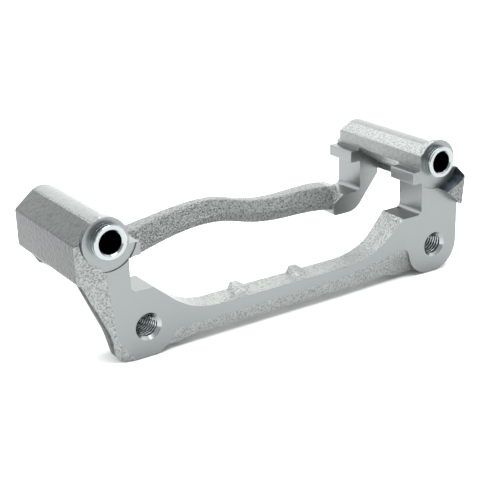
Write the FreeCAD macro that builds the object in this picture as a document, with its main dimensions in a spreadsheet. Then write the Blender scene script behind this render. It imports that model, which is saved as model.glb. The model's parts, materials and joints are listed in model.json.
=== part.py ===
import FreeCAD, Part
import math
import os

import Sketcher
from FreeCAD import Placement, Rotation, Vector

# Brake caliper bracket: one iron casting, milled, bored, tapped and zinc plated.
# It bolts to the knuckle through two threaded ears, carries the caliper's two guide pins in
# blind bores, bridges the rotor and holds four pad ears in notches.
# Millimetres. X runs along the bracket, +Y from the knuckle to the outboard side, +Z away from
# the axle. The origin is on the milled mounting face, midway between the two threaded holes.
# The sketches are drawn about the centre plane between the guide pins, which lies to one side
# of the origin because the two ears aren't alike.

DRIVING_SIZES = (
    ("pin_spacing", 220.0, "between the guide pin bores"),
    ("pin_height", 53.0, "guide pin bores above the threaded holes"),
    ("left_hole_reach", 89.8, "left threaded hole from the centre plane"),
    ("right_hole_reach", 109.2, "right threaded hole from the centre plane"),
    ("tap_drill", 12.0, "drilled diameter under the M14 x 2 thread"),
    ("thread_mouth", 15.6, "diameter of the chamfer at a thread's mouth"),
    ("bore_diameter", 12.7, "guide pin bore"),
    ("bore_depth", 64.0, "bore from the nose's face to the end of its full diameter"),
    ("bore_mouth", 0.8, "chamfer at the bore's mouth"),
    ("nose_diameter", 19.0, "turned nose that the pin boot grips"),
    ("nose_length", 4.9, "nose in front of the spot face"),
    ("nose_lip", 1.2, "width of the nose's front lip"),
    ("boot_groove_width", 0.9, "groove behind the lip"),
    ("boot_groove_depth", 0.8, "groove behind the lip"),
    ("spot_face_recess", 0.6, "spot face behind the mounting face"),
    ("spot_face_diameter", 34.0, "spot face cutter"),
    ("cutter_flare", 0.27, "how much the cutter's wall opens for each millimetre"),
    ("collar_diameter", 26.4, "cast collar round the front of a barrel"),
    ("collar_offset_out", 0.8, "collar's centre outboard of the bore"),
    ("collar_offset_down", 0.7, "collar's centre below the bore"),
    ("collar_length", 3.4, "full diameter of the collar"),
    ("collar_taper", 4.5, "length of the collar's taper to the barrel"),
    ("barrel_radius", 10.3, "cast top of a barrel round its bore"),
    ("barrel_length", 81.0, "barrel and bridge from the mounting face"),
    ("barrel_end_round", 3.5, "rounded rim at a barrel's closed end"),
    ("flank_reach", 17.0, "outboard flank from the bore"),
    ("flank_crease_drop", 0.6, "crease of the flank below the bore"),
    ("inner_flat_reach", 12.5, "inboard flat of the barrel from the bore"),
    ("inner_flat_top", 5.2, "upper edge of that flat above the bore"),
    ("inner_flat_drop", 2.8, "lower edge of that flat below the bore"),
    ("leg_flank_foot", 31.0, "foot of the flank above the right ear"),
    ("left_underside", 29.8, "underside of the left bridge at its flank"),
    ("right_underside", 33.2, "underside of the right bridge at its flank"),
    ("bridge_web_reach", 3.0, "inboard wall of the bridge's web, outboard of the bore"),
    ("bridge_web_top", 38.6, "where the web meets the slanted soffit"),
    ("left_front_slope", 0.36, "left leg's cast front falls back this much per millimetre"),
    ("left_front_lean", 0.105, "its edge with the milled face leans outboard with height"),
    ("right_front_setback", 5.0, "right barrel's outboard front corner falls back by this"),
    ("leg_depth", 20.5, "inboard legs and ears"),
    ("bar_depth", 15.5, "inboard bar between the ears"),
    ("bar_top", 1.5, "top of the inboard bar"),
    ("bar_bottom", -12.5, "underside of the inboard bar"),
    ("bar_foot_drop", 1.9, "ends of the inboard bar below its underside"),
    ("bar_foot_left", 63.0, "left step of the underside from the centre plane"),
    ("bar_foot_right", 74.0, "right step of the underside from the centre plane"),
    ("bar_foot_run", 5.0, "length of each step of the underside"),
    ("left_sweep_foot", 62.0, "left sweep's tangent lines cross here"),
    ("left_sweep_radius", 43.0, "left sweep from bar to ledge"),
    ("right_sweep_foot", 59.5, "right sweep's tangent lines cross here"),
    ("right_sweep_radius", 48.0, "right sweep from bar to ledge"),
    ("bar_waist_left", 60.0, "left end of the bar's thin middle"),
    ("bar_waist_right", 67.0, "right end of the bar's thin middle"),
    ("bar_waist_run", 19.0, "length over which the bar thickens to the legs"),
    ("draft_start_left", -6.4, "milled face ends here at the left ear"),
    ("draft_start_middle", -4.2, "milled face ends here in the middle"),
    ("draft_start_right", 5.0, "milled face ends here at the right ear"),
    ("draft_depth_left", 1.7, "cast face behind the milled one at the left ear"),
    ("draft_depth_middle", 2.0, "cast face behind the milled one in the middle"),
    ("draft_depth_right", 4.4, "cast face behind the milled one at the right ear"),
    ("draft_turn", 40.0, "where the drafted face starts to deepen"),
    ("stop_height", 3.4, "two cast stops on the bar's rear top edge"),
    ("stop_width", 4.5, "top of a stop at the bar's rear face"),
    ("stop_depth", 9.0, "stop from the bar's rear face"),
    ("stop_left", -27.0, "left stop's top from the centre plane"),
    ("stop_right", 13.5, "right stop's top from the centre plane"),
    ("left_ear_radius", 17.3, "left ear round its threaded hole"),
    ("left_heel_reach", 18.2, "outer foot of the left ear from its hole"),
    ("left_heel_radius", 9.0, "rounding of that foot"),
    ("left_knee_reach", 23.3, "left leg's flank turns steeper here, from the hole"),
    ("left_knee_height", 1.5, "height of that turn"),
    ("left_corner_reach", 18.4, "cast front of the foot starts here, outboard of its hole"),
    ("left_corner_height", -3.1, "height of that start"),
    ("left_corner_run", 2.2, "that front runs outboard this much per millimetre of depth"),
    ("left_corner_fall", 1.55, "and downward this much"),
    ("left_rim_round", 2.6, "rounded rim of the left ear's cast front"),
    ("left_side_draft", 0.46, "left leg's flank falls inward this much per millimetre of depth"),
    ("right_ear_radius", 17.1, "right ear round its threaded hole"),
    ("right_ear_inner", 15.8, "right ear's inner foot from its hole"),
    ("right_inner_radius", 15.5, "rounding of that foot"),
    ("right_neck_reach", 20.9, "right ear's neck from its hole"),
    ("right_neck_height", 0.8, "height of that neck"),
    ("right_shoulder_reach", 31.2, "right ear's milled face runs out on the bar, from its hole"),
    ("right_shoulder_height", 5.2, "height of that run-out"),
    ("left_milled_reach", 18.6, "milled face ends here on the left leg, from its hole"),
    ("left_flank_foot", 33.0, "left flank turns inward here"),
    ("notch_wall_reach", 98.6, "pad notch wall from the centre plane"),
    ("notch_floor", 21.5, "pad ledge"),
    ("notch_height", 19.8, "pad notch between ledge and hook"),
    ("notch_corner", 3.0, "rounding between ledge and wall"),
    ("ledge_inner_end", 85.2, "ledge's inner end from the centre plane"),
    ("hook_length", 7.1, "hook in front of the notch wall"),
    ("hook_thickness", 7.2, "hook over the pad ear"),
    ("rotor_face", 59.3, "milled inboard face of the outboard legs"),
    ("outer_leg_depth", 22.2, "outboard legs"),
    ("outer_leg_bottom", 8.8, "underside of the outboard legs"),
    ("outer_leg_inner", 77.5, "inner end of an outboard leg's foot"),
    ("outer_leg_heel", 95.0, "outer foot of an outboard leg"),
    ("outer_heel_radius", 13.0, "rounding of that foot"),
    ("wing_rise", 7.5, "cast wing in front of the mounting face, at its crest"),
    ("wing_foot_rise", 4.8, "cast wing in front of the mounting face, at its foot"),
    ("wing_crest_drop", 10.5, "wing's crest below the bore"),
    ("wing_reach", 16.0, "wing's outer side from the bore"),
    ("wing_top_drop", 6.5, "wing's root below the bore"),
    ("wing_step_height", 35.1, "milled step under the wing at the inner end"),
    ("wing_step_drop", 11.4, "fall of that step"),
    ("wing_step_run", 14.0, "length of that step along the bracket"),
    ("wave_bow", 4.0, "outboard bar bowed out between its legs"),
    ("wave_waist", 15.0, "outboard bar's depth in the middle"),
    ("wave_slope_run", 6.0, "rough upper face leans back by this"),
    ("wave_corner", 2.2, "rounded long edges of the outboard bar"),
    ("wave_pitch", 21.0, "between the outboard bar's stations"),
    ("wave_1", 17.0, "outboard bar's parting line at the left leg"),
    ("wave_2", 18.4, "outboard bar's parting line at a station"),
    ("wave_3", 22.4, "outboard bar's parting line at a station"),
    ("wave_4", 26.0, "outboard bar's parting line at a station"),
    ("wave_5", 25.8, "outboard bar's parting line at the middle"),
    ("wave_6", 21.9, "outboard bar's parting line at a station"),
    ("wave_7", 20.2, "outboard bar's parting line at a station"),
    ("wave_8", 18.3, "outboard bar's parting line at a station"),
    ("wave_9", 16.8, "outboard bar's parting line at the right leg"),
    ("wave_top_1", 11.0, "outboard bar above that line at the left leg"),
    ("wave_top_2", 10.2, "outboard bar above that line at a station"),
    ("wave_top_3", 9.6, "outboard bar above that line at a station"),
    ("wave_top_4", 8.8, "outboard bar above that line at a station"),
    ("wave_top_5", 8.3, "outboard bar above that line at the middle"),
    ("wave_top_6", 6.9, "outboard bar above that line at a station"),
    ("wave_top_7", 6.7, "outboard bar above that line at a station"),
    ("wave_top_8", 9.2, "outboard bar above that line at a station"),
    ("wave_top_9", 9.4, "outboard bar above that line at the right leg"),
    ("wave_low_1", 4.3, "outboard bar below that line at the left leg"),
    ("wave_low_2", 4.0, "outboard bar below that line at a station"),
    ("wave_low_3", 3.3, "outboard bar below that line at a station"),
    ("wave_low_4", 4.0, "outboard bar below that line at a station"),
    ("wave_low_5", 5.0, "outboard bar below that line at the middle"),
    ("wave_low_6", 6.2, "outboard bar below that line at a station"),
    ("wave_low_7", 6.2, "outboard bar below that line at a station"),
    ("wave_low_8", 4.3, "outboard bar below that line at a station"),
    ("wave_low_9", 5.5, "outboard bar below that line at the right leg"),
)

LEFT, RIGHT = -1, 1

doc = FreeCAD.newDocument("CaliperBracket")
sheet = doc.addObject("Spreadsheet::Sheet", "Sizes")


class Size:
    """A length of the sheet, or one worked out from several: its value and its formula."""

    def __init__(self, value, formula):
        self.value = float(value)
        self.formula = formula

    def joined(self, sign, other, value):
        return Size(value, "(%s %s %s)" % (self.formula, sign, other.formula))

    def __add__(self, other):
        other = as_size(other)
        return self.joined("+", other, self.value + other.value)

    def __sub__(self, other):
        other = as_size(other)
        return self.joined("-", other, self.value - other.value)

    def __mul__(self, other):
        other = as_size(other)
        return self.joined("*", other, self.value * other.value)

    def __truediv__(self, other):
        other = as_size(other)
        return self.joined("/", other, self.value / other.value)

    def __radd__(self, other):
        return as_size(other) + self

    def __rsub__(self, other):
        return as_size(other) - self

    def __rmul__(self, other):
        return as_size(other) * self

    def __neg__(self):
        return as_size(0) - self


def as_size(number):
    return number if isinstance(number, Size) else Size(number, "%.6g" % number)


size = {}
for row, (alias, number, note) in enumerate(DRIVING_SIZES, start=1):
    sheet.set("A%d" % row, "%g" % number)
    sheet.setAlias("A%d" % row, alias)
    sheet.set("B%d" % row, note)
    size[alias] = Size(number, "Sizes." + alias)
doc.recompute()

body = doc.addObject("PartDesign::Body", "Bracket")
body.Label = "caliper_bracket"


def origin_plane(role):
    return next(item for item in body.Origin.OriginFeatures if item.Role == role)


def bind(feature, path, length):
    feature.setExpression(path, as_size(length).formula)


def new_sketch(name, plane, shift):
    """A sketch on one of the body's planes, moved by shift in the plane's own axes."""
    sketch = body.newObject("Sketcher::SketchObject", name)
    sketch.AttachmentSupport = [(origin_plane(plane), "")]
    sketch.MapMode = "FlatFace"
    shift = [as_size(part) for part in shift]
    sketch.AttachmentOffset = Placement(Vector(*[part.value for part in shift]), Rotation())
    for axis, part in zip("xyz", shift):
        bind(sketch, "AttachmentOffset.Base." + axis, part)
    return sketch


def pin_down(sketch, index, position, corner):
    """Fix a point of the sketch at a corner worked out from the sheet."""
    for kind, length in (("DistanceX", corner[0]), ("DistanceY", corner[1])):
        number = sketch.addConstraint(Sketcher.Constraint(kind, index, position, length.value))
        bind(sketch, "Constraints[%d]" % number, length)


def draw_outline(sketch, corners):
    """A closed outline; a corner is (u, v) or (u, v, radius), with its radius drawn as an arc."""
    corners = [tuple(as_size(part) for part in corner) for corner in corners]
    count = len(corners)
    spots = [Vector(corner[0].value, corner[1].value, 0) for corner in corners]
    starts, ends, arcs = {}, {}, {}
    for i, corner in enumerate(corners):
        starts[i] = ends[i] = spots[i]
        if len(corner) == 3:
            back = (spots[i - 1] - spots[i]).normalize()
            ahead = (spots[(i + 1) % count] - spots[i]).normalize()
            half = back.getAngle(ahead) / 2
            reach = corner[2].value / math.tan(half)
            middle = spots[i] + (back + ahead).normalize() * (corner[2].value / math.sin(half))
            ends[i] = spots[i] + back * reach
            starts[i] = spots[i] + ahead * reach
            left_turn = (-back).cross(ahead).z > 0
            arcs[i] = (middle, left_turn)
    lines = []
    for i in range(count):
        lines.append(sketch.addGeometry(Part.LineSegment(starts[i], ends[(i + 1) % count]), False))
    for i, corner in enumerate(corners):
        before, after = lines[i - 1], lines[i]
        if i not in arcs:
            sketch.addConstraint(Sketcher.Constraint("Coincident", before, 2, after, 1))
            pin_down(sketch, after, 1, corner)
            continue
        middle, left_turn = arcs[i]
        first, last = (ends[i], starts[i]) if left_turn else (starts[i], ends[i])
        circle = Part.Circle(middle, Vector(0, 0, 1), corner[2].value)
        from_angle = math.atan2(first.y - middle.y, first.x - middle.x)
        to_angle = math.atan2(last.y - middle.y, last.x - middle.x)
        arc = sketch.addGeometry(Part.ArcOfCircle(circle, from_angle, to_angle), False)
        mark = sketch.addGeometry(Part.Point(spots[i]), True)
        pin_down(sketch, mark, 1, corner)
        sketch.addConstraint(Sketcher.Constraint("PointOnObject", mark, 1, before))
        sketch.addConstraint(Sketcher.Constraint("PointOnObject", mark, 1, after))
        arc_in, arc_out = (1, 2) if left_turn else (2, 1)
        sketch.addConstraint(Sketcher.Constraint("Tangent", before, 2, arc, arc_in))
        sketch.addConstraint(Sketcher.Constraint("Tangent", after, 1, arc, arc_out))
        number = sketch.addConstraint(Sketcher.Constraint("Radius", arc, corner[2].value))
        bind(sketch, "Constraints[%d]" % number, corner[2])


def finish_feature(feature, grows):
    """Recompute, hide nothing, and check that the feature changed the solid the right way."""
    before = finish_feature.volume
    doc.recompute()
    after = body.Shape.Volume
    if (after <= before) if grows else (after >= before):
        raise RuntimeError("%s changed nothing: %.1f to %.1f" % (feature.Name, before, after))
    finish_feature.volume = after
    return feature


finish_feature.volume = 0.0


def pad_along_y(name, corners, front, back):
    """Solid with this outline in X and Z, from front to back along Y."""
    sketch = new_sketch(name + "Outline", "XZ_Plane", (0, 0, -as_size(front)))
    draw_outline(sketch, corners)
    pad = body.newObject("PartDesign::Pad", name)
    pad.Profile = sketch
    pad.Reversed = True
    bind(pad, "Length", as_size(back) - front)
    return finish_feature(pad, True)


def pocket_along_y(name, corners, front, back):
    """Cut with this outline in X and Z, from front to back along Y."""
    sketch = new_sketch(name + "Outline", "XZ_Plane", (0, 0, -as_size(front)))
    draw_outline(sketch, corners)
    pocket = body.newObject("PartDesign::Pocket", name)
    pocket.Profile = sketch
    pocket.Reversed = False
    bind(pocket, "Length", as_size(back) - front)
    return finish_feature(pocket, False)


def pad_along_x(name, corners, start, end):
    """Solid with this outline in Y and Z, from start to end along X."""
    sketch = new_sketch(name + "Outline", "YZ_Plane", (0, 0, start))
    draw_outline(sketch, corners)
    pad = body.newObject("PartDesign::Pad", name)
    pad.Profile = sketch
    bind(pad, "Length", as_size(end) - start)
    return finish_feature(pad, True)


def pocket_along_z(name, corners, low, high):
    """Cut with this outline in X and Y, from high down to low."""
    sketch = new_sketch(name + "Outline", "XY_Plane", (0, 0, high))
    draw_outline(sketch, corners)
    pocket = body.newObject("PartDesign::Pocket", name)
    pocket.Profile = sketch
    bind(pocket, "Length", as_size(high) - low)
    return finish_feature(pocket, False)


def turned(kind, name, profile, centre):
    """Revolution or groove: profile is (radius, y) about an axis along Y through centre."""
    sketch = new_sketch(name + "Profile", "XY_Plane", (centre[0], 0, centre[1]))
    draw_outline(sketch, profile)
    feature = body.newObject("PartDesign::" + kind, name)
    feature.Profile = sketch
    feature.ReferenceAxis = (sketch, ["V_Axis"])
    feature.Angle = 360
    return finish_feature(feature, kind == "Revolution")


def mirrored(side, corners):
    """Corners drawn for the right-hand end, turned round for the left one."""
    if side == RIGHT:
        return corners
    return [(-as_size(corner[0]),) + tuple(corner[1:]) for corner in reversed(corners)]


pin_reach = size["pin_spacing"] / 2
pin_height = size["pin_height"]
hook_underside = size["notch_floor"] + size["notch_height"]
hook_top = hook_underside + size["hook_thickness"]
hook_tip = size["notch_wall_reach"] - size["hook_length"]
flank = pin_reach + size["flank_reach"]
flank_crease = pin_height - size["flank_crease_drop"]
inner_flat = pin_reach - size["inner_flat_reach"]
inner_flat_foot = pin_height - size["inner_flat_drop"]
shoulder = [
    (flank, flank_crease, 2),
    (pin_reach + size["barrel_radius"] * 0.605, pin_height + size["barrel_radius"] * 0.796),
]
left_milled_edge = size["left_hole_reach"] + size["left_milled_reach"]


def inboard_bar():
    """The bar between the ears, with its swept ends and drafted face."""
    foot = size["bar_bottom"] - size["bar_foot_drop"]
    ledge = size["notch_floor"]
    outline = [
        (-size["left_hole_reach"], foot),
        (-size["bar_foot_left"] - size["bar_foot_run"], foot),
        (-size["bar_foot_left"], size["bar_bottom"]),
        (size["bar_foot_right"], size["bar_bottom"]),
        (size["bar_foot_right"] + size["bar_foot_run"], foot),
        (size["right_hole_reach"] - 5, foot),
        (size["right_hole_reach"] - 5, ledge - 1),
        (size["ledge_inner_end"] + 3, ledge),
        (size["ledge_inner_end"], ledge),
        (size["right_sweep_foot"], size["bar_top"], size["right_sweep_radius"]),
        (-size["left_sweep_foot"], size["bar_top"], size["left_sweep_radius"]),
        (-size["ledge_inner_end"], ledge),
        (-size["ledge_inner_end"] - 3, ledge),
        (-size["left_hole_reach"], ledge - 1),
    ]
    pad_along_y("InboardBar", outline, 0, size["leg_depth"])
    draft_cut(foot - 2)


def bar_waist():
    """Between the legs the bar is thinner, and it thickens into them in soft curves."""
    waist = [
        (-size["bar_waist_left"] - size["bar_waist_run"], size["leg_depth"]),
        (-size["bar_waist_left"], size["bar_depth"], 20),
        (size["bar_waist_right"], size["bar_depth"], 20),
        (size["bar_waist_right"] + size["bar_waist_run"], size["leg_depth"]),
        (size["bar_waist_right"] + size["bar_waist_run"], size["leg_depth"] + 5),
        (-size["bar_waist_left"] - size["bar_waist_run"], size["leg_depth"] + 5),
    ]
    low = size["bar_bottom"] - size["bar_foot_drop"] - 10
    pocket_along_z("BarWaist", waist, low, size["notch_floor"] + 3)


def draft_cut(below):
    """The cast lower front of the bar leans back from the milled face, most at the right ear."""
    loft = body.newObject("PartDesign::SubtractiveLoft", "BarDraft")
    stations = (
        (-size["left_hole_reach"] - 1, size["draft_start_left"], size["draft_depth_left"]),
        (size["draft_turn"], size["draft_start_middle"], size["draft_depth_middle"]),
        (size["right_hole_reach"] - 4, size["draft_start_right"], size["draft_depth_right"]),
    )
    sketches = []
    for number, (place, top, depth) in enumerate(stations, start=1):
        sketch = new_sketch("BarDraft%d" % number, "YZ_Plane", (0, 0, place))
        draw_outline(sketch, [(-2, below), (depth, below), (0, top), (-2, top)])
        sketches.append(sketch)
    loft.Profile = sketches[0]
    loft.Sections = sketches[1:]
    loft.Ruled = True
    finish_feature(loft, False)


def cast_stop(name, middle):
    """A cast stop on the bar's rear top edge: steep on its left, easy on its right and front."""
    loft = body.newObject("PartDesign::AdditiveLoft", name)
    half = size["stop_width"] / 2
    base = size["bar_top"] - 2
    sketches = []
    for part, place, height in (
        ("Rear", size["bar_depth"], size["stop_height"]),
        ("Front", size["bar_depth"] - size["stop_depth"], as_size(0.1)),
    ):
        sketch = new_sketch(name + part, "XZ_Plane", (0, 0, -place))
        top = size["bar_top"] + height
        draw_outline(sketch, [
            (middle - half - 3.5, base),
            (middle + half + 8, base),
            (middle + half + 5, size["bar_top"]),
            (middle + half, top),
            (middle - half, top),
            (middle - half - 1.8, size["bar_top"]),
        ])
        sketches.append(sketch)
    loft.Profile = sketches[0]
    loft.Sections = sketches[1:]
    loft.Ruled = True
    finish_feature(loft, True)


def pad_notch(floor_end):
    """The pad notch's side of a leg, from under the barrel down to the ledge."""
    wall = size["notch_wall_reach"]
    return [
        (inner_flat + 6, pin_height + 2),
        (inner_flat, inner_flat_foot + 0.5),
        (inner_flat, hook_top),
        (hook_tip, hook_top, 0.8),
        (hook_tip, hook_underside, 0.8),
        (wall, hook_underside),
        (wall, size["notch_floor"], size["notch_corner"]),
        (floor_end, size["notch_floor"]),
    ]


def right_inboard_leg():
    """Right column and ear: the threaded hole is almost under the guide pin."""
    hole = size["right_hole_reach"]
    ear = size["right_ear_radius"]
    shoulder_end = hole - size["right_shoulder_reach"]
    outline = [
        (hole - size["right_ear_inner"], -ear, size["right_inner_radius"]),
        (hole + ear, -ear, ear),
        (flank, size["leg_flank_foot"]),
    ] + shoulder + pad_notch(size["ledge_inner_end"]) + [
        (shoulder_end, size["notch_floor"] - 12),
        (shoulder_end, size["right_shoulder_height"]),
        (hole - size["right_neck_reach"], size["right_neck_height"], 5),
    ]
    pad_along_y("RightLeg", outline, 0, size["leg_depth"])


def left_inboard_leg():
    """Left column and ear: the threaded hole lies well inboard of the guide pin."""
    hole = size["left_hole_reach"]
    ear = size["left_ear_radius"]
    inner = hole - ear
    outline = [
        (inner, -ear, ear * 0.99),
        (hole + size["left_heel_reach"], -ear, size["left_heel_radius"]),
        (hole + size["left_knee_reach"], size["left_knee_height"], 40),
        (flank, size["left_flank_foot"]),
    ] + shoulder + pad_notch(size["ledge_inner_end"]) + [(inner, size["bar_top"])]
    pad_along_y("LeftLeg", mirrored(LEFT, outline), 0, size["leg_depth"])
    left_side_draft()
    left_cast_front()
    left_rim()


def cut_between_heights(name, sections):
    """Cut whose outline in X and Y changes evenly from each height to the next."""
    loft = body.newObject("PartDesign::SubtractiveLoft", name)
    sketches = []
    for number, (height, corners) in enumerate(sections, start=1):
        sketch = new_sketch("%s%d" % (name, number), "XY_Plane", (0, 0, height))
        draw_outline(sketch, corners)
        sketches.append(sketch)
    loft.Profile = sketches[0]
    loft.Sections = sketches[1:]
    loft.Ruled = True
    finish_feature(loft, False)


def left_side_draft():
    """Behind its front rim the left leg's slanting side falls inward, as it left the mould."""
    hole = size["left_hole_reach"]
    knee = hole + size["left_knee_reach"]
    knee_height = size["left_knee_height"]
    foot_run = size["left_knee_reach"] - size["left_heel_reach"]
    low_slope = foot_run / (knee_height + size["left_ear_radius"])
    high_slope = (flank - knee) / (size["left_flank_foot"] - knee_height)
    bottom = -size["left_ear_radius"] - 2
    top = size["left_underside"] + 3
    front = (flank - left_milled_edge) * size["left_front_slope"] + 0.8
    depth = size["leg_depth"] + 1
    inward = (depth - front) * size["left_side_draft"]
    sections = []
    for height, edge in (
        (bottom, knee - (knee_height - bottom) * low_slope),
        (knee_height, knee),
        (top, knee + (top - knee_height) * high_slope),
    ):
        sections.append((height, [
            (-edge, front),
            (-edge + inward, depth),
            (-edge - 5, depth),
            (-edge - 5, front),
        ]))
    cut_between_heights("LeftSideDraft", sections)


def left_cast_front():
    """Outboard of the milled face the left leg's cast front slants back to the flank."""
    sections = []
    for height in (-size["left_ear_radius"] - 3, pin_height + 9):
        edge = left_milled_edge + height * size["left_front_lean"]
        sections.append((height, [
            (-edge, 0),
            (-edge - 25, 25 * size["left_front_slope"]),
            (-edge - 25, -2),
            (-edge, -2),
        ]))
    cut_between_heights("LeftCastFront", sections)
    hole = size["left_hole_reach"]
    loft = body.newObject("PartDesign::SubtractiveLoft", "LeftCornerFront")
    sketches = []
    for number, depth in ((1, as_size(-1)), (2, as_size(7))):
        across = depth * size["left_corner_run"]
        down = depth * size["left_corner_fall"]
        start = (-hole - size["left_corner_reach"] - across, size["left_corner_height"] - down)
        sketch = new_sketch("LeftCornerFront%d" % number, "XZ_Plane", (0, 0, -depth))
        draw_outline(sketch, [
            (start[0] + 10.4, start[1] - 14.7),
            (start[0] - 16.1, start[1] + 22.8),
            (start[0] - 40, start[1] + 6),
            (start[0] - 14, start[1] - 31),
        ])
        sketches.append(sketch)
    loft.Profile = sketches[0]
    loft.Sections = sketches[1:]
    loft.Ruled = True
    finish_feature(loft, False)


def left_rim():
    """The rim between that cast front and the leg's slanting side is rounded."""
    names = []
    lowest, highest = size["left_corner_height"].value, size["left_flank_foot"].value
    outer = -size["left_hole_reach"].value - size["left_heel_reach"].value
    for number, edge in enumerate(body.Shape.Edges, start=1):
        box = edge.BoundBox
        on_flank = box.XMax < outer and lowest < box.ZMax < highest + 0.1
        if on_flank and 0.02 < box.YMax < size["leg_depth"].value / 2 and rim_edge(edge):
            names.append("Edge%d" % number)
    before = body.Tip
    fillet = body.newObject("PartDesign::Fillet", "LeftRim")
    fillet.Base = (before, names)
    bind(fillet, "Radius", size["left_rim_round"])
    body.Tip = fillet
    finish_feature(fillet, False)


def rim_edge(edge):
    """True where a face that looks to the front meets one that doesn't."""
    faces = body.Shape.ancestorsOfType(edge, Part.Face)
    front = []
    for face in faces:
        u0, u1, v0, v1 = face.ParameterRange
        front.append(face.normalAt((u0 + u1) / 2, (v0 + v1) / 2).y < -0.85)
    return len(front) == 2 and front[0] != front[1]


def bridge(side, name, front, underside):
    """Barrel and bridge: round over the bore, a crease each side, and an open soffit below."""
    radius = size["barrel_radius"]
    web = pin_reach + size["bridge_web_reach"]
    outline = [
        (web, underside, 2),
        (flank, underside, 3),
    ] + shoulder + [
        (pin_reach - radius * 0.452, pin_height + radius * 0.892),
        (inner_flat, pin_height + size["inner_flat_top"], 1.5),
        (inner_flat, inner_flat_foot, 1),
        (web, size["bridge_web_top"], 2),
    ]
    pad_along_y(name + "Bridge", mirrored(side, outline), front, size["barrel_length"])
    centre = (pin_reach * side, pin_height)
    barrel = [(0, front), (radius, front), (radius, size["barrel_length"]), (0, size["barrel_length"])]
    turned("Revolution", name + "Barrel", barrel, centre)


def round_barrel_ends():
    """The closed ends of both barrels have a rounded cast rim."""
    length = size["barrel_length"].value
    names = []
    for number, edge in enumerate(body.Shape.Edges, start=1):
        box = edge.BoundBox
        if abs(box.YMin - length) < 0.001 and abs(box.YMax - length) < 0.001:
            names.append("Edge%d" % number)
    before = body.Tip
    fillet = body.newObject("PartDesign::Fillet", "BarrelEnds")
    fillet.Base = (before, names)
    bind(fillet, "Radius", size["barrel_end_round"])
    body.Tip = fillet
    finish_feature(fillet, False)


def right_front_corner():
    """Above the wing the right barrel's outboard front corner falls back, as cast."""
    setback = size["right_front_setback"]
    start = pin_reach + size["collar_diameter"] / 2 - 2
    corner = [
        (start, 0),
        (start, -2),
        (flank + 3, -2),
        (flank + 3, setback * 1.5),
    ]
    pocket_along_z("RightFrontCorner", corner, pin_height - size["wing_top_drop"] - 0.5, pin_height + 11)


def outboard_leg(side, name):
    """Outboard leg: milled rotor face, pad notch and a heel that sweeps up to the bridge."""
    web = pin_reach + size["bridge_web_reach"]
    outline = [
        (size["outer_leg_inner"], size["outer_leg_bottom"], 2),
        (size["outer_leg_heel"], size["outer_leg_bottom"], size["outer_heel_radius"]),
        (web, size["leg_flank_foot"]),
        (web, size["bridge_web_top"] + 4),
    ] + pad_notch(size["ledge_inner_end"]) + [
        (size["outer_leg_inner"], size["notch_floor"] - 5),
    ]
    back = size["rotor_face"] + size["outer_leg_depth"]
    pad_along_y(name + "OutboardLeg", mirrored(side, outline), size["rotor_face"], back)
    outboard_heel(side, name)


def outboard_heel(side, name):
    """Behind its milled face the outboard leg swells out to meet the end of the flank."""
    foot = size["outer_leg_bottom"]
    heel = size["outer_leg_heel"]
    wall = size["notch_wall_reach"]
    web = pin_reach + size["bridge_web_reach"]
    loft = body.newObject("PartDesign::AdditiveLoft", name + "Heel")
    sections = (
        (size["rotor_face"] + 1.5, [
            (heel - 6, foot + 3),
            (heel, foot + 4),
            (heel + 11, size["leg_flank_foot"] - 8),
            (web - 0.5, size["leg_flank_foot"] + 0.5),
            (web - 0.5, size["bridge_web_top"]),
            (wall + 3, size["bridge_web_top"] - 4),
            (wall + 3, size["notch_floor"] - 2),
        ]),
        (size["barrel_length"] - size["barrel_end_round"] / 2, [
            (heel - 6, foot + 0.5),
            (heel + 9, foot + 1.5),
            (pin_reach + 5.5, foot + 9),
            (flank - 0.7, size["leg_flank_foot"] + 4),
            (flank - 0.7, size["bridge_web_top"] + 4),
            (wall + 3, size["bridge_web_top"] - 4),
            (wall + 3, size["notch_floor"] - 2),
        ]),
    )
    sketches = []
    for number, (place, corners) in enumerate(sections, start=1):
        sketch = new_sketch("%sHeel%d" % (name, number), "XZ_Plane", (0, 0, -place))
        draw_outline(sketch, mirrored(side, corners))
        sketches.append(sketch)
    loft.Profile = sketches[0]
    loft.Sections = sketches[1:]
    loft.Ruled = True
    finish_feature(loft, True)


def outboard_bar():
    """The wavy outboard bar: a drafted six-sided section lofted through nine stations."""
    loft = body.newObject("PartDesign::AdditiveLoft", "OutboardBar")
    back = size["rotor_face"] + size["outer_leg_depth"]
    waist_back = size["rotor_face"] + size["wave_bow"] + size["wave_waist"]
    sketches = []
    for number in range(1, 10):
        place = size["wave_pitch"] * (number - 5)
        bend = (1 - (abs(number - 5) / 4.0) ** 2)
        front = size["rotor_face"] + size["wave_bow"] * bend
        rear = back + (waist_back - back) * bend
        parting = size["wave_%d" % number]
        low = parting - size["wave_low_%d" % number]
        top = parting + size["wave_top_%d" % number]
        sketch = new_sketch("OutboardBar%d" % number, "YZ_Plane", (0, 0, place))
        corner = size["wave_corner"]
        draw_outline(sketch, [
            (front, parting, 0.6),
            (front + 1, low, 1.2),
            (rear - 1, low, corner),
            (rear, parting, corner),
            (rear - 1.5, top, corner),
            (front + size["wave_slope_run"], top, corner),
        ])
        sketches.append(sketch)
    loft.Profile = sketches[0]
    loft.Sections = sketches[1:]
    loft.Ruled = False
    finish_feature(loft, True)


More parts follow.
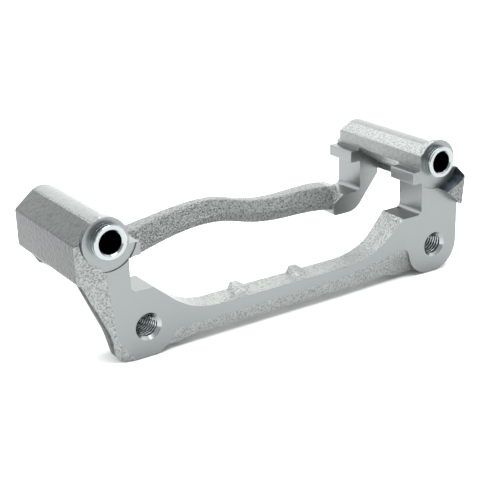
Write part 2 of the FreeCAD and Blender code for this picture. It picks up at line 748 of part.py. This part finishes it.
def wing():
    """The cast wing beside the right barrel, proud of the mounting face, over a milled step."""
    crest = pin_height - size["wing_crest_drop"]
    foot = size["wing_step_height"] - size["wing_step_drop"]
    outer = pin_reach + size["wing_reach"]
    root = pin_height - size["wing_top_drop"]
    profile = [
        (3, foot - 4),
        (3, root),
        (0, root),
        (-size["wing_rise"], crest, 1.5),
        (-size["wing_foot_rise"], foot - 4),
    ]
    pad_along_x("Wing", list(reversed(profile)), pin_reach - 4, outer)
    step = [
        (outer + 2, foot - 8),
        (outer + 2, foot - size["wing_step_drop"] / size["wing_step_run"] * 2),
        (outer - size["wing_step_run"], size["wing_step_height"]),
        (outer - size["wing_step_run"] * 1.6, size["wing_step_height"] + size["wing_step_drop"] * 0.6),
        (outer - size["wing_step_run"] * 1.6, foot - 8),
    ]
    pocket_along_y("WingStep", step, -size["wing_rise"] - 2, 0)


def pin_seat(side, name):
    """Cast collar, spot face, turned nose with its boot groove, and the blind guide pin bore."""
    centre = (pin_reach * side, pin_height)
    recess = size["spot_face_recess"]
    collar = size["collar_diameter"] / 2
    cast_centre = (centre[0] + size["collar_offset_out"] * side, pin_height - size["collar_offset_down"])
    back = recess + size["collar_length"]
    turned("Revolution", name + "Collar", [
        (0, recess),
        (collar, recess),
        (collar, back),
        (size["barrel_radius"], back + size["collar_taper"]),
        (0, back + size["collar_taper"]),
    ], cast_centre)
    cutter = size["spot_face_diameter"] / 2
    clear = size["wing_rise"] + 3
    turned("Groove", name + "SpotFace", [
        (0, -clear),
        (cutter + size["cutter_flare"] * clear, -clear),
        (cutter, 0),
        (cutter, recess),
        (0, recess),
    ], centre)
    nose = size["nose_diameter"] / 2
    front = recess - size["nose_length"]
    lip = front + size["nose_lip"]
    groove = nose - size["boot_groove_depth"]
    turned("Revolution", name + "Nose", [
        (0, front),
        (nose - 0.4, front),
        (nose, front + 0.4),
        (nose, lip),
        (groove, lip + 0.2),
        (groove, lip + size["boot_groove_width"]),
        (nose + 0.1, lip + size["boot_groove_width"] + 0.2),
        (nose + 0.1, recess + 1),
        (0, recess + 1),
    ], centre)
    bore = size["bore_diameter"] / 2
    end = front + size["bore_depth"]
    turned("Groove", name + "Bore", [
        (0, front - 1),
        (bore + size["bore_mouth"] + 1, front - 1),
        (bore, front + size["bore_mouth"]),
        (bore, end),
        (0, end + bore * 0.6),
    ], centre)


def threaded_hole(name, place):
    """Tapped right through its ear, drilled here to the tap drill with both mouths chamfered."""
    drill = size["tap_drill"] / 2
    mouth = size["thread_mouth"] / 2
    bevel = mouth - drill
    depth = size["leg_depth"]
    turned("Groove", name, [
        (0, -1),
        (mouth + 1, -1),
        (drill, bevel),
        (drill, depth - bevel / 2),
        (mouth - bevel / 2 + 1, depth + 1),
        (0, depth + 1),
    ], (place, 0))


inboard_bar()
right_inboard_leg()
left_inboard_leg()
bar_waist()
cast_stop("LeftStop", size["stop_left"])
cast_stop("RightStop", size["stop_right"])
left_front = (flank - left_milled_edge - 5) * size["left_front_slope"]
bridge(LEFT, "Left", left_front, size["left_underside"])
bridge(RIGHT, "Right", size["spot_face_recess"], size["right_underside"])
round_barrel_ends()
right_front_corner()
outboard_leg(LEFT, "Left")
outboard_leg(RIGHT, "Right")
outboard_bar()
wing()
pin_seat(LEFT, "Left")
pin_seat(RIGHT, "Right")
threaded_hole("LeftThreadedHole", -size["left_hole_reach"])
threaded_hole("RightThreadedHole", size["right_hole_reach"])

hole_middle = (size["right_hole_reach"] - size["left_hole_reach"]) / 2
bind(body, "Placement.Base.x", -hole_middle)
doc.recompute()

for item in doc.Objects:
    if "Invalid" in item.State or "Error" in item.State:
        raise RuntimeError("%s failed: %s" % (item.Name, item.State))
if body.Shape.isNull() or not body.Shape.isValid() or len(body.Shape.Solids) != 1:
    raise RuntimeError("the bracket isn't one valid solid")

os.makedirs("parts", exist_ok=True)
body.Shape.exportStep(os.path.join("parts", body.Label + ".step"))
print("%s: %.1f cm3" % (body.Label, body.Shape.Volume / 1000))
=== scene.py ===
import json
import math

import bpy
import numpy as np
from mathutils import Euler, Matrix, Vector


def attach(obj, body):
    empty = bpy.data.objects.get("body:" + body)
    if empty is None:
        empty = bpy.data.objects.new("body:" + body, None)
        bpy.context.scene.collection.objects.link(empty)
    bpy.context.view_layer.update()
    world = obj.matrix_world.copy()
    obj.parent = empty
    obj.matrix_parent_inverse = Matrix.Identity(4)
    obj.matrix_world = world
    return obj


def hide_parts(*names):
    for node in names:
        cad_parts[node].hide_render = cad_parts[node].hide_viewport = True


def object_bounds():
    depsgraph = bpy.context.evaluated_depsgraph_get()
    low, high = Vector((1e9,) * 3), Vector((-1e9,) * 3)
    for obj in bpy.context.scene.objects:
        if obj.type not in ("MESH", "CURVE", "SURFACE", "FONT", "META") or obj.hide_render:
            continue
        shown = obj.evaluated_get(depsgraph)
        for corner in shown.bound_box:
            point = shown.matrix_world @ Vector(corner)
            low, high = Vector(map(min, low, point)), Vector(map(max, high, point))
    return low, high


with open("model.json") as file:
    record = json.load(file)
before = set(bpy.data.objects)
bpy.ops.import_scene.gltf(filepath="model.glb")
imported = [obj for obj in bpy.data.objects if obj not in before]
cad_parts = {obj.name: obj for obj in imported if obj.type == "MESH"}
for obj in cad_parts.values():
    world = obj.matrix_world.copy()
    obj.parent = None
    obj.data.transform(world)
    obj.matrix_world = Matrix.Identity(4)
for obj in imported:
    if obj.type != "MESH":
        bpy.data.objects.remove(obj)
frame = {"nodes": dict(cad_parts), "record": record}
cad_low, cad_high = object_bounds()


# Casting: one piece of ductile iron, sand cast, milled on the knuckle side, broached in the pad
# notches, bored for the guide pins and tapped for the knuckle's screws, then zinc plated all over.
# It is the CAD solid itself, with a real thread in its holes and a finish for each kind of face, some
# of them darker copies that paint shade.
mounts = {mount["name"]: mount for mount in frame["record"]["mounts"]}
pins = [Vector(mounts[side + "_guide_bore"]["pos_m"]) for side in ("left", "right")]
threads = [Vector(mounts[side + "_thread"]["pos_m"]) for side in ("left", "right")]
bore_radius = mounts["left_guide_bore"]["dims"]["r_mm"] / 1000
drill_radius = mounts["left_thread"]["dims"]["r_mm"] / 1000
centre_x = (pins[0].x + pins[1].x) / 2

source = frame["nodes"]["caliper_bracket"]
bpy.ops.object.select_all(action="DESELECT")
casting = source.copy()
casting.data = source.data.copy()
casting.name = "casting"
casting.data.name = "casting"
bpy.context.scene.collection.objects.link(casting)
casting.parent = None
bpy.context.view_layer.objects.active = casting
casting.select_set(True)
bpy.ops.mesh.customdata_custom_splitnormals_clear()
bpy.ops.object.mode_set(mode="EDIT")
bpy.ops.mesh.select_all(action="SELECT")
bpy.ops.mesh.remove_doubles(threshold=0.000001)
bpy.ops.object.mode_set(mode="OBJECT")

# The wall of each drilled hole is cut into rings, which then sink into a helical groove.
thread_pitch = 0.0020
thread_depth = 0.00108
thread_run_out = 0.0007
root_flat = 0.12
flank_slope = 2.5
ring_count = 96
shortest_wall = 0.001
wall_tolerance = 0.00003
ring_tolerance = 0.00012
tiny = 1e-6
mesh = casting.data
for thread in threads:
    bpy.ops.object.mode_set(mode="EDIT")
    bpy.ops.mesh.select_mode(type="FACE")
    bpy.ops.mesh.select_all(action="DESELECT")
    bpy.ops.object.mode_set(mode="OBJECT")
    corners = np.array([v.co for v in mesh.vertices], float)
    away = np.hypot(corners[:, 0] - thread.x, corners[:, 2] - thread.z)
    on_wall = np.abs(away - drill_radius) < wall_tolerance
    for polygon in mesh.polygons:
        polygon.select = all(on_wall[i] for i in polygon.vertices)
    bpy.ops.object.mode_set(mode="EDIT")
    bpy.ops.mesh.tris_convert_to_quads(face_threshold=0.2, shape_threshold=3.1)
    bpy.ops.mesh.select_all(action="DESELECT")
    bpy.ops.mesh.select_mode(type="EDGE")
    bpy.ops.object.mode_set(mode="OBJECT")
    for edge in mesh.edges:
        first, second = edge.vertices
        lengthwise = abs(corners[first, 1] - corners[second, 1]) > shortest_wall
        edge.select = bool(on_wall[first] and on_wall[second] and lengthwise)
    bpy.ops.object.mode_set(mode="EDIT")
    bpy.ops.mesh.subdivide_edgering(number_cuts=ring_count, interpolation="LINEAR", smoothness=0)
    bpy.ops.mesh.select_all(action="DESELECT")
    bpy.ops.object.mode_set(mode="OBJECT")
    corners = np.array([v.co for v in mesh.vertices], float)
    across = corners[:, [0, 2]] - [thread.x, thread.z]
    along = corners[:, 1]
    away = np.hypot(across[:, 0], across[:, 1])
    on_wall = np.abs(away - drill_radius) < ring_tolerance
    start, end = along[on_wall].min(), along[on_wall].max()
    turn = np.arctan2(across[:, 1], across[:, 0]) / (2 * np.pi)
    phase = (along / thread_pitch + turn) % 1.0
    groove = np.clip(1 + root_flat - np.abs(phase - 0.5) * flank_slope, 0, 1)
    fade = np.clip(np.minimum(along - start, end - along) / thread_run_out, 0, 1)
    moved = on_wall & (along > start + tiny) & (along < end - tiny)
    stretch = 1 + thread_depth * groove * fade / np.maximum(away, tiny)
    corners[moved, 0] = thread.x + across[moved, 0] * stretch[moved]
    corners[moved, 2] = thread.z + across[moved, 1] * stretch[moved]
    mesh.vertices.foreach_set("co", corners.ravel())
mesh.update()
crease_angle = math.radians(28)
bpy.ops.object.shade_smooth_by_angle(angle=crease_angle)


def add(tree, kind, links=(), **values):
    """Add a node, set its fields and sockets, and link (socket, node, output) into it."""
    node = tree.nodes.new(kind)
    for name, value in values.items():
        if hasattr(node, name):
            setattr(node, name, value)
        else:
            node.inputs[name.replace("_", " ")].default_value = value
    for socket, other, output in links:
        tree.links.new(other.outputs[output], node.inputs[socket])
    return node


def linear(text):
    """An sRGB hex colour as linear red, green, blue and full alpha."""
    parts = [int(text[i:i + 2], 16) / 255 for i in (1, 3, 5)]
    return [p / 12.92 if p <= 0.04045 else ((p + 0.055) / 1.055) ** 2.4 for p in parts] + [1.0]


patch_width = 0.014
grains_per_pebble = 3.1
grain_share = 0.25
# Where along the pebble relief the painted shade of the hollows gives way to the painted light of the
# tops.
hollow, top = 0.33, 0.56


def plated(name, dark, light, roughness, pebble, height, edge):
    """Zinc plate over iron; pebble is the mark of the sand, height its relief, edge the rounding.

    The dark colour is painted shade in the hollows between the pebbles and the light one is painted
    light on top of them."""
    material = bpy.data.materials.new(name)
    material.use_nodes = True
    tree = material.node_tree
    tree.nodes.clear()
    place = add(tree, "ShaderNodeTexCoord")
    coarse = add(tree, "ShaderNodeTexNoise", [("Vector", place, "Object")],
                 Scale=1 / pebble, Detail=2.0, Roughness=0.5)
    fine = add(tree, "ShaderNodeTexNoise", [("Vector", place, "Object")],
               Scale=grains_per_pebble / pebble, Detail=1.0)
    patch = add(tree, "ShaderNodeTexNoise", [("Vector", place, "Object")],
                Scale=1 / patch_width, Detail=2.0, Roughness=0.6)
    wear = add(tree, "ShaderNodeMapRange", [("Value", patch, "Fac")],
               From_Min=0.35, From_Max=0.65, To_Min=0.6, To_Max=1.0)
    relief = add(tree, "ShaderNodeBump", [("Height", coarse, "Fac"), ("Strength", wear, "Result")],
                 Distance=height)
    grit = add(tree, "ShaderNodeBump", [("Height", fine, "Fac"), ("Normal", relief, "Normal")],
               Distance=height * grain_share, Strength=1.0)
    rounded = add(tree, "ShaderNodeBevel", [("Normal", grit, "Normal")], Radius=edge)
    # Painted shade and painted light: the colour follows the pebble relief, darker in its hollows and
    # lighter on its tops.
    pebble_shade = add(tree, "ShaderNodeValToRGB", [("Fac", coarse, "Fac")])
    pebble_shade.color_ramp.elements[0].position = hollow
    pebble_shade.color_ramp.elements[0].color = linear(dark)
    pebble_shade.color_ramp.elements[1].position = top
    pebble_shade.color_ramp.elements[1].color = linear(light)
    surface = add(tree, "ShaderNodeBsdfPrincipled",
                  [("Normal", rounded, "Normal"), ("Base Color", pebble_shade, "Color")],
                  Metallic=1.0, Roughness=roughness)
    add(tree, "ShaderNodeOutputMaterial", [("Surface", surface, "BSDF")])
    return material


# Sand-cast finish; its dark and light colours are painted shade in the pebble hollows and painted light
# on their tops.
cast_rough = plated("zinc_plated_sand_cast_iron", "#737776", "#a0a4a2",
                    roughness=0.30, pebble=0.0010, height=0.0012, edge=0.0006)
# Painted shade: a darker copy of the sand-cast finish, with a slightly coarser relief.
cast_coarse_shaded = plated("zinc_plated_coarse_cast_iron_painted_shade", "#4e5251", "#868a88",
                     roughness=0.30, pebble=0.0010, height=0.0014, edge=0.0006)
cast_smooth = plated("zinc_plated_drafted_cast_iron", "#7b7f7e", "#848887",
                     roughness=0.36, pebble=0.0022, height=0.0004, edge=0.0007)
milled = plated("zinc_plated_milled_iron", "#808484", "#828685",
                roughness=0.34, pebble=0.0012, height=0.000004, edge=0.0003)
turned = plated("zinc_plated_turned_iron", "#9ba1a2", "#9fa5a5",
                roughness=0.20, pebble=0.0012, height=0.000004, edge=0.0002)
# Painted shade: a darker copy of the drafted finish for the outward flanks of the ears.
flank_shade = plated("zinc_plated_cast_iron_flank_painted_shade", "#484b4b", "#525655",
              roughness=0.38, pebble=0.0024, height=0.0005, edge=0.0007)
# Painted shade: a dark bluish copy for the walls round the spot faces.
cutter_wall_shade = plated("zinc_plated_cutter_wall_painted_shade", "#3d444a", "#565e64",
                     roughness=0.28, pebble=0.0030, height=0.0001, edge=0.0004)
# Painted shade: near black in the roots of the thread.
thread_root_shade = plated("zinc_plated_thread_root_painted_shade", "#26292b", "#303335",
                     roughness=0.42, pebble=0.0012, height=0.000004, edge=0.0001)
# Painted shade: near black on the walls of the guide-pin bores.
bored = plated("bored_iron_painted_shade", "#1a1b1d", "#202124",
               roughness=0.5, pebble=0.0012, height=0.000004, edge=0.0001)
finishes = [cast_rough, cast_smooth, milled, turned, cutter_wall_shade, bored, flank_shade, thread_root_shade, cast_coarse_shaded]
mesh.materials.clear()
for finish in finishes:
    mesh.materials.append(finish)

# Each face takes its finish, or a copy with painted shade, from its place and from the way it looks. A
# later rule wins.
near = 0.0001
spot_radius, spot_face_y, spot_wall = 0.0170, 0.0006, 0.0025
nose_radius = 0.0100
crown_radius = 0.0105
rotor_face_y = 0.0593
leg_rear_y = 0.0205
shoulder_inset, shoulder_drop = 0.003, 0.001
bar_front_y, bar_reach = rotor_face_y - 0.0010, 0.0780
proud_y = -0.0005
flank_inset = 0.006
heel_reach = 0.0765
notch_inner, notch_outer, notch_bottom, notch_top = 0.0850, 0.0988, 0.0212, 0.0490
mouth_radius, mouth_depth = 0.0079, 0.0022
crest_width = 0.00045
bore_tolerance, bore_start_y = 0.0003, -0.0070
# How much of a face's normal lies along an axis says which way it looks.
upright_z, level_z, outward_x = 0.35, 0.88, 0.6
wall_y, end_y, square_y = 0.3, 0.9, 0.99
for polygon in mesh.polygons:
    spot, normal = polygon.center, polygon.normal
    reach = abs(spot.x - centre_x)
    outward = 1 if spot.x > centre_x else -1
    pin = min(pins, key=lambda p: abs(p.x - spot.x))
    from_pin = math.hypot(spot.x - pin.x, spot.z - pin.z)
    thread = min(threads, key=lambda p: abs(p.x - spot.x))
    from_thread = math.hypot(spot.x - thread.x, spot.z - thread.z)
    finish = cast_rough
    # Painted shade: the left barrel's shoulder, the bar's front and the faces in front of the mounting
    # face take the darker sand-cast copy.
    on_shoulder = spot.x < pins[0].x - shoulder_inset and spot.z > pins[0].z - shoulder_drop
    on_bar = spot.y > bar_front_y and reach < bar_reach
    if on_shoulder or on_bar or spot.y < proud_y:
        finish = cast_coarse_shaded
    if abs(normal.z) < upright_z and abs(normal.y) < end_y:
        finish = cast_smooth
    if normal.z > level_z and from_pin < crown_radius and spot.z > pin.z:
        finish = cast_smooth
    # Painted shade: the outward flanks of the ears take the darker drafted copy.
    if normal.x * outward > outward_x and reach > abs(pin.x - centre_x) - flank_inset:
        finish = flank_shade
    if normal.y < -square_y and abs(spot.y) < near:
        finish = milled
    if normal.y < -square_y and abs(spot.y - rotor_face_y) < near and reach > heel_reach:
        finish = milled
    in_notch = notch_inner < reach < notch_outer and notch_bottom < spot.z < notch_top
    if in_notch and (spot.y < leg_rear_y + near or spot.y > rotor_face_y - near):
        finish = milled
    # Painted shade: the root of the thread, deeper than its crests, takes the near-black copy.
    if from_thread < mouth_radius and spot.y > -near:
        finish = turned
        if spot.y > mouth_depth and from_thread > drill_radius + crest_width:
            finish = thread_root_shade
    # Painted shade: the walls round each spot face take the dark bluish copy; the flat floor stays
    # milled.
    if from_pin < spot_radius + spot_wall and spot.y < spot_face_y + near:
        finish = cutter_wall_shade if normal.y > -end_y else milled
    if from_pin < nose_radius and spot.y < spot_face_y + near:
        finish = turned
    # Painted shade: the walls of the guide-pin bores are near black.
    in_bore = from_pin < bore_radius + bore_tolerance and spot.y > bore_start_y
    if in_bore and abs(normal.y) < wall_y:
        finish = bored
    polygon.material_index = finishes.index(finish)
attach(casting, "root")
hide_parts("caliper_bracket")


# Floor: a plain sweep of matt white paper, just under the lowest point of the ears.
floor_gap = 0.0002
bpy.ops.object.select_all(action="DESELECT")
bpy.ops.mesh.primitive_plane_add(size=12.0, location=(0, 0, 0))
floor = bpy.context.object
floor.name = "floor"
floor.data.transform(Matrix.Translation((0, 0, cad_low[2] - floor_gap)))
paper = bpy.data.materials.new("white_paper")
paper.use_nodes = True
paper_surface = paper.node_tree.nodes["Principled BSDF"]
paper_surface.inputs["Base Color"].default_value = linear("#f4f4f4")
paper_surface.inputs["Roughness"].default_value = 0.9
floor.data.materials.append(paper)


# Camera: the photo's own viewpoint, from the knuckle side, to the left and a little above.
camera_data = bpy.data.cameras.new("camera")
camera_data.lens = 88.5
camera_data.sensor_width = 36.0
camera_data.clip_end = 50
camera = bpy.data.objects.new("camera", camera_data)
bpy.context.scene.collection.objects.link(camera)
camera.location = (-0.36085, -0.50659, 0.25913)
azimuth, elevation, roll = math.radians(-32.29), math.radians(20.49), math.radians(-2.02)
level = Euler((math.pi / 2 - elevation, 0, azimuth), "XYZ").to_matrix()
camera.rotation_euler = (level @ Matrix.Rotation(roll, 3, "Z")).to_euler()
bpy.context.scene.camera = camera


# Light: a white room that is dim at the front left and bright towards the back right and above,
# with a soft box overhead, a little in front, and a small one at the back left.
brightest_way = (0.50, 0.75, 0.43)
world = bpy.data.worlds.new("studio")
bpy.context.scene.world = world
world.use_nodes = True
room = world.node_tree
room.nodes.clear()
where = add(room, "ShaderNodeTexCoord")
facing = add(room, "ShaderNodeVectorMath", [("Vector", where, "Generated")], operation="DOT_PRODUCT")
facing.inputs[1].default_value = brightest_way
ramp = add(room, "ShaderNodeValToRGB", [("Fac", facing, "Value")])
ramp.color_ramp.elements[0].position = 0.0
ramp.color_ramp.elements[0].color = (0.30, 0.305, 0.31, 1)
ramp.color_ramp.elements[1].position = 0.7
ramp.color_ramp.elements[1].color = (1.0, 1.0, 1.0, 1)
walls = add(room, "ShaderNodeBackground", [("Color", ramp, "Color")], Strength=2.3)
add(room, "ShaderNodeOutputWorld", [("Surface", walls, "Background")])

aim = Vector((0, 0.03, 0.02))
for name, place, width, power in (
    ("top_box", (0.0, -0.25, 1.5), 1.0, 24.0),
    ("left_box", (-0.9, 0.5, 1.0), 0.3, 7.0),
):
    lamp_data = bpy.data.lights.new(name, "AREA")
    lamp_data.size = width
    lamp_data.energy = power
    lamp = bpy.data.objects.new(name, lamp_data)
    bpy.context.scene.collection.objects.link(lamp)
    lamp.location = place
    lamp.rotation_euler = (aim - Vector(place)).to_track_quat("-Z", "Y").to_euler()

view = bpy.context.scene.view_settings
view.view_transform = "Standard"
view.look = "None"
view.exposure = 0.0
